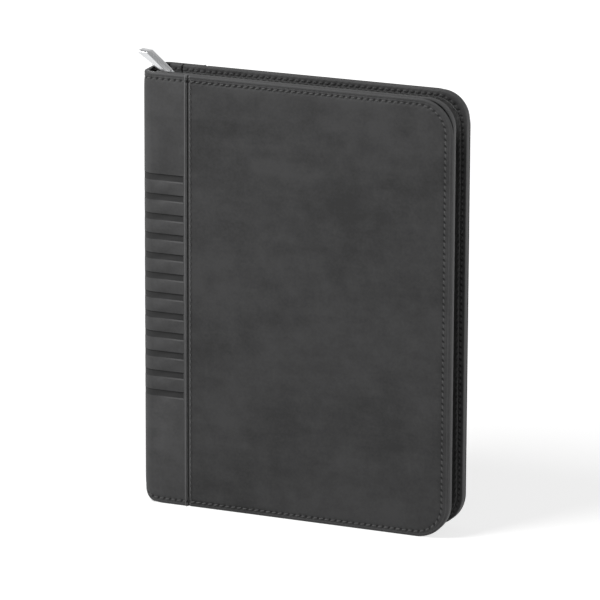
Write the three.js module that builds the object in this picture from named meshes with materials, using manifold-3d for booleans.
// A zip-round organizer for A5 paper, standing on its lower edge with the spine on the left.
// Two padded covers and a soft spine are joined by two folds in the spine leather.
// A zip runs round the three open sides, and its slider is parked at the top, next to the spine.
// Lengths are millimetres. While the pieces are made, x runs from the back of the spine to the
// fore edge, y from the front cover (negative) to the back cover (positive), and z up from the foot.
import * as THREE from "three";
import { mergeVertices } from "three/addons/utils/BufferGeometryUtils.js";
import Module from "manifold-3d";

const wasm = await Module();
wasm.setup();

// The case as a whole
const HEIGHT = 245;
const WIDTH = 182;
const THICKNESS = 28;
const FORE_CORNER = 19; // corner radius of the covers at the fore edge
const FOOT_CORNER = 10; // corner radius at the foot of the spine
const HEAD_CORNER = 2.5; // corner radius at the head of the spine
const SPINE_ROUND = 7; // radius of the two long edges of the spine, seen from above
const EDGE_ROUND = 1.5; // rounding of the edge of each cover's outer face

// The layers of a cover, from outside to inside
const LEATHER = 1;
const PADDING = 1;
const BOARD = 1.6;
const RIM_DEPTH = 4; // how far the leather turns in round the edge of a cover
const BINDING = 1.75; // the second band, which finishes the inner side
const BINDING_WIDTH = 9.6;
const LINING = 0.7;
const BOARD_START = 8; // where the boards begin, clear of the folds
const LAYER_GAP = 0.25; // between one layer and the next

// The spine
const SPINE = 2.5;
const SPINE_BOARD = 0.6;
const SPINE_LINING = 0.5;
const FOLD_GAP = 0.3; // between the leather of the spine and of a cover, at each fold
const SEAM = 27.6; // where the spine leather ends on the covers
const SEAM_GAP = 0.8;

// The pressed bands on the spine leather
const BAND_COUNT = 12;
const BAND_PITCH = 11.16;
const BAND_HEIGHT = 4.4;
const LOWEST_BAND = 61.4;
const BAND_DEPTH = 0.5;
const BAND_MARGIN = 1.3; // from the ends of the bands to the seam

// The zip
const ZIP_DEPTH = 11.9; // from the edge of the covers down to the middle of the chain
const TAPE = 0.6;
const TAPE_INSET = 3.4; // where the sewn flange of the tape begins
const TAPE_START = 15.8; // where the sewn flange ends next to the spine
const TAPE_END = 9; // where the free end of the tape lies
const CHAIN_THICKNESS = 2.6;
const CHAIN_WIDTH = 2.2; // of one of the two halves
const CHAIN_SPLIT = 1.2; // between the halves, where the web of the slider runs
const STOP_LENGTH = 1.5;
const ZIP_CLEARANCE = 0.3;

// The slider and its pull
const SLIDER_NOSE = 13.5; // where the slider begins, next to the spine
const SLIDER_LENGTH = 10.5;
const SLIDER_PLATE = 0.9;
const SLIDER_RAIL = 1.1;
const SLIDER_WEB = 0.6;
const BRIDGE_LENGTH = 6.8;
const BRIDGE_WIDTH = 2;
const BRIDGE_HEIGHT = 3.3;
const BRIDGE_BAR = 0.95;
const HINGE_ALONG = 4.2; // from the nose of the slider to the axis of the pull
const HINGE_RISE = 1.4; // from the top of the slider's plate to the axis of the pull
const PULL_WIDTH = 8;
const PULL_THICKNESS = 1.4;
const PULL_CREASE = 24.4; // from the axis to the crease where the tip slopes down
const PULL_LENGTH = 29.2;
const PULL_HEEL = 2.5; // where the underside begins to swell
const PULL_BELLY = 17;
const PULL_BELLY_DEPTH = 2.45;
const PULL_TIP_DEPTH = 3.2;
const PULL_TIP_EDGE = 0.5;
const PULL_SLOT_WIDTH = 4.5;
const PULL_SLOT_END = 8.5;
const PULL_REST = 40; // degrees above level, where it leans on the head of the spine

// The writing pad and the pockets
const PAD_CLEARANCE = 3; // from the pad to the zip and to the pen loop
const PAD_BACKING = 0.8;
const PAD_SHEETS = 3.6;
const PAD_HEAD_BINDING = 0.8;
const POCKET = 0.6; // thickness of every pocket panel
const POCKET_GAP = 0.3;
const PAD_POCKET_HEIGHT = 120;
const DOCUMENT_POCKET_START = 34;
const CARD_WIDTH = 96;
const CARD_START = 52;
const CARD_FOOT = 52;
const CARD_HEIGHT = 84;
const CARD_STEP = 13;
const PEN_LOOP_SIZE = 9.8;
const PEN_LOOP_WALL = 0.8;
const PEN_LOOP_ROUND = 4;
const PEN_LOOP_HEIGHT = 24;
const PEN_LOOP_DROP = 71; // from the head of the case down to the loop

const FRONT = -1;
const BACK = 1;
const HALF = THICKNESS / 2;
const PADDING_TOP = LEATHER + LAYER_GAP;
const BOARD_TOP = PADDING_TOP + PADDING + LAYER_GAP;
const INNER_FACE = RIM_DEPTH + LAYER_GAP;
const COVER = INNER_FACE + BINDING;
const LINING_FACE = INNER_FACE + LINING;
const ZIP_HEIGHT = HEIGHT - ZIP_DEPTH;
const PLATE_TOP = ZIP_HEIGHT + CHAIN_THICKNESS / 2 + ZIP_CLEARANCE + SLIDER_PLATE;
const MOST_CORNER_STEPS = 10; // straight pieces in a large rounded corner
const BAR_STEPS = 6; // straight pieces in the round end of the pull

// The pad fills the case from the pen loop to where its square corners meet the round zip.
const ZIP_INNER_INSET = ZIP_DEPTH + TAPE / 2;
const PAD_CORNER_ROOM = (FORE_CORNER - ZIP_INNER_INSET) * (1 - Math.SQRT1_2);
const PAD_INSET = ZIP_INNER_INSET + PAD_CORNER_ROOM + PAD_CLEARANCE;
const PAD_START = SPINE + POCKET_GAP + PEN_LOOP_SIZE + PAD_CLEARANCE;
const PAD_END = WIDTH - PAD_INSET;
const PAD_HEAD = HEIGHT - PAD_INSET - PAD_HEAD_BINDING - LAYER_GAP;

const leather = { color: 0x464646, roughness: 0.62, metalness: 0 };
const lining = { color: 0x2b2b2c, roughness: 0.85, metalness: 0 };
const foam = { color: 0x9a9a98, roughness: 0.95, metalness: 0 };
const greyBoard = { color: 0x8b867c, roughness: 0.9, metalness: 0 };
const tapeCloth = { color: 0x1d1d1e, roughness: 0.9, metalness: 0 };
const nylon = { color: 0x171718, roughness: 0.45, metalness: 0 };
const nickel = { color: 0xc9cbcd, roughness: 0.22, metalness: 1 };
const paper = { color: 0xf1efe9, roughness: 0.9, metalness: 0 };

// A closed geometry as a solid that can be joined and cut.
function solidOf(geometry) {
  const bare = geometry.index ? geometry.toNonIndexed() : geometry.clone();
  bare.deleteAttribute("normal");
  bare.deleteAttribute("uv");
  const merged = mergeVertices(bare, 1e-4);
  return new wasm.Manifold(
    new wasm.Mesh({
      numProp: 3,
      vertProperties: merged.attributes.position.array,
      triVerts: new Uint32Array(merged.index.array),
    }),
  );
}

// The solid's surface as a named mesh.
function meshOf(name, solid, look) {
  const surface = solid.getMesh();
  const geometry = new THREE.BufferGeometry();
  const points = new THREE.BufferAttribute(surface.vertProperties, 3);
  geometry.setAttribute("position", points).setIndex(new THREE.BufferAttribute(surface.triVerts, 1));
  const flat = geometry.toNonIndexed();
  flat.computeVertexNormals();
  const mesh = new THREE.Mesh(flat, new THREE.MeshStandardMaterial(look));
  mesh.name = name;
  return mesh;
}

// A box between two corners.
function block([x0, y0, z0], [x1, y1, z1]) {
  const geometry = new THREE.BoxGeometry(x1 - x0, y1 - y0, z1 - z0);
  return solidOf(geometry.translate((x0 + x1) / 2, (y0 + y1) / 2, (z0 + z1) / 2));
}

// A flat piece: an outline drawn in x and z, from y0 to y1, with its two faces rounded if asked.
function plate(outline, y0, y1, round = 0) {
  const geometry = new THREE.ExtrudeGeometry(outline, {
    depth: y1 - y0 - 2 * round,
    curveSegments: BAR_STEPS,
    bevelEnabled: round > 0,
    bevelThickness: round,
    bevelSize: round,
    bevelOffset: -round,
    bevelSegments: 3,
  });
  return solidOf(geometry.rotateX(Math.PI / 2).translate(0, y1 - round, 0));
}

// An upright piece: an outline drawn in x and y, from z0 to z1.
function column(outline, z0, z1) {
  const settings = { depth: z1 - z0, bevelEnabled: false };
  return solidOf(new THREE.ExtrudeGeometry(outline, settings).translate(0, 0, z0));
}

// A polygon as an outline.
function polygon(corners) {
  return new THREE.Shape(corners.map(([a, b]) => new THREE.Vector2(a, b)));
}

// The points of a quarter turn about (a, b), in more steps where the radius is larger.
function quarterTurn(a, b, radius, startAngle) {
  const steps = Math.min(MOST_CORNER_STEPS, Math.ceil(2 * Math.sqrt(radius)));
  const points = [];
  for (let i = 0; i <= steps; i++) {
    const angle = startAngle + (i * Math.PI) / (2 * steps);
    points.push(new THREE.Vector2(a + radius * Math.cos(angle), b + radius * Math.sin(angle)));
  }
  return points;
}

// A rectangle with four corner radii, in the order low-low, high-low, high-high, low-high.
function roundedRectangle(a0, a1, b0, b1, [r1, r2, r3, r4]) {
  return new THREE.Shape([
    ...quarterTurn(a0 + r1, b0 + r1, r1, Math.PI),
    ...quarterTurn(a1 - r2, b0 + r2, r2, 1.5 * Math.PI),
    ...quarterTurn(a1 - r3, b1 - r3, r3, 0),
    ...quarterTurn(a0 + r4, b1 - r4, r4, 0.5 * Math.PI),
  ]);
}

// The outline of a cover, drawn in by inset on the three open sides and starting at x = start.
function coverOutline(inset, start = inset) {
  const fore = FORE_CORNER - inset;
  const small = 0.2; // a corner that has no radius of its own
  const foot = start <= inset ? Math.max(FOOT_CORNER - inset, small) : small;
  const head = start <= inset ? Math.max(HEAD_CORNER - inset, small) : small;
  const radii = [foot, fore, fore, head];
  return roundedRectangle(start, WIDTH - inset, inset, HEIGHT - inset, radii);
}

// A flat layer of one cover, between two depths below its outer face.
function layer(side, outline, depth0, depth1, round = 0) {
  const near = side * (HALF - depth0);
  const far = side * (HALF - depth1);
  return plate(outline, Math.min(near, far), Math.max(near, far), round);
}

// The case seen from above, drawn in by inset, as a column taller than the case.
function caseColumn(inset) {
  const round = SPINE_ROUND - inset;
  const radii = [round, 0.2, 0.2, round];
  const outline = roundedRectangle(inset, 2 * WIDTH, inset - HALF, HALF - inset, radii);
  return column(outline, -HEIGHT, 2 * HEIGHT);
}

// What belongs to a cover at the fold: the mitre from the corner of the case inwards.
function coverSide(side) {
  const slack = FOLD_GAP / Math.SQRT2;
  const outer = side * (HALF + 1);
  const corners = [
    [slack - 1, outer],
    [2 * WIDTH, outer],
    [2 * WIDTH, 0],
    [slack + HALF, 0],
  ];
  return column(polygon(corners), -1, HEIGHT + 1);
}

// What belongs to the spine between its two folds.
function spineSide() {
  const slack = FOLD_GAP / Math.SQRT2;
  const reach = HALF + 1 - slack;
  const corners = [
    [-1, -reach],
    [HALF - slack, 0],
    [-1, reach],
  ];
  return column(polygon(corners), -1, HEIGHT + 1);
}

// The pressed bands run round the spine and end short of the seams.
function bandCutter() {
  const bands = [];
  for (let i = 0; i < BAND_COUNT; i++) {
    const foot = LOWEST_BAND + i * BAND_PITCH;
    const low = [-1, -HALF - 1, foot];
    const high = [SEAM - BAND_MARGIN, HALF + 1, foot + BAND_HEIGHT];
    bands.push(block(low, high));
  }
  const joined = bands.reduce((all, band) => all.add(band));
  return joined.subtract(caseColumn(BAND_DEPTH));
}

const bandCuts = bandCutter();
const caseSolid = caseColumn(0);
const caseHollow = caseColumn(LEATHER);

// The leather of one cover turns in round its edge, and its hollow holds the padding and the board.
function coverLeather(side) {
  const past = 2 * EDGE_ROUND;
  const whole = layer(side, coverOutline(0), 0, RIM_DEPTH + past, EDGE_ROUND);
  const kept = layer(side, coverOutline(-1), -1, RIM_DEPTH);
  const hollow = layer(side, coverOutline(LEATHER), LEATHER, RIM_DEPTH + past);
  const skin = whole.intersect(kept).intersect(caseSolid);
  return skin.subtract(hollow.intersect(caseHollow)).intersect(coverSide(side));
}

// The leather is two pieces that meet at the seam: the panel and the end of the spine strip.
function coverSkins(side, prefix) {
  const whole = coverLeather(side);
  const far = 2 * WIDTH;
  const panelSpace = block([SEAM + SEAM_GAP / 2, -far, -far], [far, far, far]);
  const stripSpace = block([-far, -far, -far], [SEAM - SEAM_GAP / 2, far, far]);
  return [
    meshOf(prefix + "_panel_leather", whole.intersect(panelSpace), leather),
    meshOf(prefix + "_spine_flap_leather", whole.intersect(stripSpace).subtract(bandCuts), leather),
  ];
}

// Inside the leather lie the padding, the stiff board and the lining.
function coverFilling(side, prefix) {
  const inset = LEATHER + LAYER_GAP;
  const core = coverOutline(inset, BOARD_START);
  const lined = coverOutline(BINDING_WIDTH + LAYER_GAP, BOARD_START);
  const padding = layer(side, core, PADDING_TOP, PADDING_TOP + PADDING);
  const board = layer(side, core, BOARD_TOP, BOARD_TOP + BOARD - LAYER_GAP);
  const sheet = layer(side, lined, INNER_FACE, LINING_FACE);
  return [
    meshOf(prefix + "_padding", padding, foam),
    meshOf(prefix + "_board", board, greyBoard),
    meshOf(prefix + "_lining", sheet, lining),
  ];
}

// A strip of the given width that follows the three open sides and starts at x = start.
function openFrame(side, inset, width, start, depth0, depth1) {
  const outside = layer(side, coverOutline(inset, start), depth0, depth1);
  const inside = layer(side, coverOutline(inset + width, start - 1), depth0 - 1, depth1 + 1);
  return outside.subtract(inside);
}

// The binding is the second band that shows on the edge, inside the leather.
function edgeBinding(side, prefix) {
  const strip = openFrame(side, LAYER_GAP, BINDING_WIDTH, BOARD_START, INNER_FACE, COVER);
  return meshOf(prefix + "_edge_binding", strip, leather);
}

// One tape is sewn flat to the binding, then turns and crosses to the middle of the case.
function zipTape(side, prefix) {
  const flangeTop = COVER + LAYER_GAP;
  const webInset = ZIP_DEPTH - TAPE / 2;
  const webEnd = HALF - CHAIN_SPLIT / 2 - CHAIN_WIDTH - ZIP_CLEARANCE;
  const flangeWidth = webInset + TAPE - TAPE_INSET;
  const flange = openFrame(side, TAPE_INSET, flangeWidth, TAPE_START, flangeTop, flangeTop + TAPE);
  const web = openFrame(side, webInset, TAPE, TAPE_END, flangeTop, webEnd);
  return meshOf(prefix + "_zip_tape", flange.add(web), tapeCloth);
}

// One half of the chain. The front half begins past the slider, so that its cover can swing.
function zipChain(side, prefix) {
  const inset = ZIP_DEPTH - CHAIN_THICKNESS / 2;
  const depth0 = HALF - CHAIN_SPLIT / 2 - CHAIN_WIDTH;
  const start = TAPE_END + 2 * ZIP_CLEARANCE + STOP_LENGTH + ZIP_CLEARANCE;
  const band = openFrame(side, inset, CHAIN_THICKNESS, start, depth0, depth0 + CHAIN_WIDTH);
  const sliderEnd = SLIDER_NOSE + SLIDER_LENGTH + 2 * ZIP_CLEARANCE;
  const parked = block([0, -HALF, HEIGHT / 2], [sliderEnd, HALF, HEIGHT]);
  return meshOf(prefix + "_zip_chain", side === FRONT ? band.subtract(parked) : band, nylon);
}

// The stop at the head of one tape.
function topStop(side, prefix) {
  const start = TAPE_END + 2 * ZIP_CLEARANCE;
  const near = side * (CHAIN_SPLIT / 2);
  const far = side * (CHAIN_SPLIT / 2 + CHAIN_WIDTH);
  const low = [start, Math.min(near, far), ZIP_HEIGHT - CHAIN_THICKNESS / 2];
  const high = [start + STOP_LENGTH, Math.max(near, far), ZIP_HEIGHT + CHAIN_THICKNESS / 2];
  return meshOf(prefix + "_top_stop", block(low, high), nickel);
}

// The stop at the foot lies across both halves of the chain.
function bottomStop() {
  const start = TAPE_END + 2 * ZIP_CLEARANCE;
  const reach = CHAIN_SPLIT / 2 + CHAIN_WIDTH;
  const low = [start, -reach, ZIP_DEPTH - CHAIN_THICKNESS / 2];
  const high = [start + STOP_LENGTH, reach, ZIP_DEPTH + CHAIN_THICKNESS / 2];
  return meshOf("zip_bottom_stop", block(low, high), nickel);
}

// The spine: leather with turned ends, a thin stiffener and a lining.
function spinePieces() {
  const outline = coverOutline(0);
  const whole = plate(outline, -HALF, HALF).intersect(caseSolid);
  const hollow = plate(coverOutline(LEATHER), -HALF, HALF).intersect(caseHollow);
  const space = block([-1, -HALF, -1], [SPINE, HALF, HEIGHT + 1]).intersect(spineSide());
  const skin = whole.subtract(hollow).intersect(space).subtract(bandCuts);
  const reach = HALF - SPINE_ROUND;
  const foot = FOOT_CORNER;
  const head = HEIGHT - Math.max(HEAD_CORNER, LEATHER + LAYER_GAP);
  const boardStart = LEATHER + LAYER_GAP / 2;
  const liningStart = SPINE - SPINE_LINING;
  const board = block([boardStart, -reach, foot], [boardStart + SPINE_BOARD, reach, head]);
  const sheet = block([liningStart, -reach, foot], [SPINE, reach, head]);
  return [
    meshOf("spine_leather", skin, leather),
    meshOf("spine_board", board, greyBoard),
    meshOf("spine_lining", sheet, lining),
  ];
}

// An elastic loop on the inside of the spine holds a pen.
function penLoop() {
  const half = PEN_LOOP_SIZE / 2;
  const start = SPINE + POCKET_GAP;
  const end = start + PEN_LOOP_SIZE;
  const wall = PEN_LOOP_WALL;
  const outerRadii = Array(4).fill(PEN_LOOP_ROUND);
  const innerRadii = Array(4).fill(PEN_LOOP_ROUND - wall);
  const outer = roundedRectangle(start, end, -half, half, outerRadii);
  const inner = roundedRectangle(start + wall, end - wall, wall - half, half - wall, innerRadii);
  outer.holes.push(inner);
  const head = HEIGHT - PEN_LOOP_DROP;
  const ring = column(outer, head - PEN_LOOP_HEIGHT, head);
  return meshOf("pen_loop", ring, lining);
}

// The pad: its backing slips behind the pocket, and its sheets lie in front of the pocket.
function writingPad() {
  const upTo = (head) => polygon([
    [PAD_START, PAD_INSET],
    [PAD_END, PAD_INSET],
    [PAD_END, head],
    [PAD_START, head],
  ]);
  const sheet = upTo(PAD_HEAD);
  const backingTop = LINING_FACE + POCKET_GAP;
  const pocketTop = backingTop + PAD_BACKING + POCKET_GAP;
  const sheetsTop = pocketTop + POCKET + POCKET_GAP;
  const sheetsEnd = sheetsTop + PAD_SHEETS;
  const low = [PAD_START, HALF - sheetsEnd, PAD_HEAD + LAYER_GAP];
  const high = [PAD_END, HALF - backingTop, PAD_HEAD + LAYER_GAP + PAD_HEAD_BINDING];
  const backing = layer(BACK, sheet, backingTop, backingTop + PAD_BACKING);
  const pocket = layer(BACK, upTo(PAD_INSET + PAD_POCKET_HEIGHT), pocketTop, pocketTop + POCKET);
  const sheets = layer(BACK, sheet, sheetsTop, sheetsEnd);
  return [
    meshOf("pad_backing_board", backing, greyBoard),
    meshOf("pad_pocket", pocket, lining),
    meshOf("pad_paper_block", sheets, paper),
    meshOf("pad_head_binding", block(low, high), lining),
  ];
}

// The front cover carries a document pocket, open towards the spine, and three stepped card pockets.
function frontPockets() {
  const inset = ZIP_DEPTH + CHAIN_THICKNESS;
  const top = LINING_FACE + POCKET_GAP;
  const document = layer(FRONT, coverOutline(inset, DOCUMENT_POCKET_START), top, top + POCKET);
  const pieces = [meshOf("document_pocket", document, lining)];
  ["upper", "middle", "lower"].forEach((name, i) => {
    const depth = top + (i + 1) * (POCKET + POCKET_GAP);
    const head = CARD_FOOT + CARD_HEIGHT - i * CARD_STEP;
    const outline = roundedRectangle(CARD_START, CARD_START + CARD_WIDTH, CARD_FOOT, head, [2, 2, 2, 2]);
    const panel = layer(FRONT, outline, depth, depth + POCKET);
    pieces.push(meshOf("card_pocket_" + name, panel, lining));
  });
  return pieces;
}

// The slider: two plates with side rails, held together by a narrow web, and a bridge for the pull.
function sliderBody() {
  const inner = CHAIN_THICKNESS / 2 + ZIP_CLEARANCE;
  const outer = inner + SLIDER_PLATE;
  const railStart = CHAIN_SPLIT / 2 + CHAIN_WIDTH + ZIP_CLEARANCE;
  const halfWidth = railStart + SLIDER_RAIL;
  const tail = SLIDER_LENGTH;
  const slot = TAPE / 2 + ZIP_CLEARANCE;
  const nose = 2.5;
  const outline = roundedRectangle(0, tail, -halfWidth, halfWidth, [nose, 1, 1, nose]);
  const overlap = 0.2; // so that the joined shapes share some volume
  let body = column(outline, inner, outer).add(column(outline, -outer, -inner));
  const web = block([nose / 2, -SLIDER_WEB / 2, -outer + overlap], [nose, SLIDER_WEB / 2, outer - overlap]);
  body = body.add(web);
  for (const side of [FRONT, BACK]) {
    for (const level of [-1, 1]) {
      const y = [side * railStart, side * halfWidth].sort((a, b) => a - b);
      const z = [level * slot, level * (inner + overlap)].sort((a, b) => a - b);
      body = body.add(block([nose, y[0], z[0]], [tail - 1, y[1], z[1]]));
    }
  }
  const start = HINGE_ALONG - BRIDGE_LENGTH / 2;
  const end = HINGE_ALONG + BRIDGE_LENGTH / 2;
  const foot = outer - overlap;
  const crown = outer + BRIDGE_HEIGHT;
  const round = BRIDGE_HEIGHT / 2;
  const arch = roundedRectangle(start, end, foot, crown, [0.2, 0.2, round, round]);
  const eye = [start + BRIDGE_BAR, end - BRIDGE_BAR, outer, crown - BRIDGE_BAR];
  arch.holes.push(roundedRectangle(...eye, [0.2, 0.2, round - BRIDGE_BAR, round - BRIDGE_BAR]));
  const bridge = plate(arch, -BRIDGE_WIDTH / 2, BRIDGE_WIDTH / 2);
  return meshOf("slider_body", body.add(bridge), nickel);
}

// The pull is drawn along x from its axis. Its bar runs through the bridge.
function pullTab() {
  const bar = PULL_THICKNESS / 2;
  const shape = new THREE.Shape();
  shape.absarc(0, 0, bar, Math.PI / 2, 1.5 * Math.PI, false);
  shape.lineTo(PULL_HEEL, -bar);
  shape.lineTo(PULL_BELLY, -PULL_BELLY_DEPTH);
  shape.lineTo(PULL_LENGTH, -PULL_TIP_DEPTH);
  shape.lineTo(PULL_LENGTH, PULL_TIP_EDGE - PULL_TIP_DEPTH);
  shape.lineTo(PULL_CREASE, bar);
  const half = PULL_WIDTH / 2;
  const slotHalf = PULL_SLOT_WIDTH / 2;
  const slotEnds = PULL_TIP_DEPTH + 1;
  const slot = block([bar, -slotHalf, -slotEnds], [PULL_SLOT_END, slotHalf, slotEnds]);
  return meshOf("pull_tab", plate(shape, -half, half).subtract(slot), nickel);
}

const organizer = new THREE.Group();
for (const [side, prefix] of [[FRONT, "front"], [BACK, "back"]]) {
  organizer.add(...coverSkins(side, prefix), ...coverFilling(side, prefix));
  organizer.add(edgeBinding(side, prefix), zipTape(side, prefix), zipChain(side, prefix));
  organizer.add(topStop(side, prefix));
}
organizer.add(...spinePieces(), penLoop(), ...writingPad(), ...frontPockets(), bottomStop());

const slider = new THREE.Group();
slider.position.set(SLIDER_NOSE, 0, ZIP_HEIGHT);
slider.add(sliderBody());
organizer.add(slider);

const pull = new THREE.Group();
pull.position.set(SLIDER_NOSE + HINGE_ALONG, 0, PLATE_TOP + HINGE_RISE);
pull.rotation.y = -THREE.MathUtils.degToRad(180 - PULL_REST);
const tab = pullTab();
tab.rotation.x = Math.PI;
pull.add(tab);
organizer.add(pull);

// The origin is on the table, below the middle of the whole thing with its pull.
const middle = new THREE.Box3().setFromObject(organizer).getCenter(new THREE.Vector3());
organizer.position.x = -middle.x;

export default organizer;
